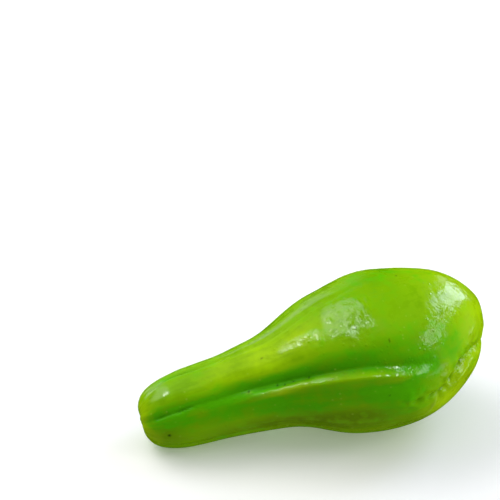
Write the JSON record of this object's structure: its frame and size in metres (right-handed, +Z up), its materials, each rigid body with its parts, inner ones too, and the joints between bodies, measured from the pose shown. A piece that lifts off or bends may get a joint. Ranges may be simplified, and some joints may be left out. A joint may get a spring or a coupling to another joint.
{
  "type": "chayote squash",
  "caption": "Long-necked chayote fruit lying on its side, with furrowed glossy green skin and a puckered cleft at the blossom end.",
  "frame": {"origin": "on the resting surface, under the middle of the fruit's box", "axes": "+X along the fruit from the stem end to the blossom end, +Y across it, +Z up"},
  "size_m": [0.162, 0.0834, 0.0677],
  "materials": {
    "chayote_skin": "waxy, wet-looking green skin with fine wrinkles and pits"
  },
  "bodies": {
    "root": {"chayote_fruit": "chayote_skin"}
  },
  "joints": []
}
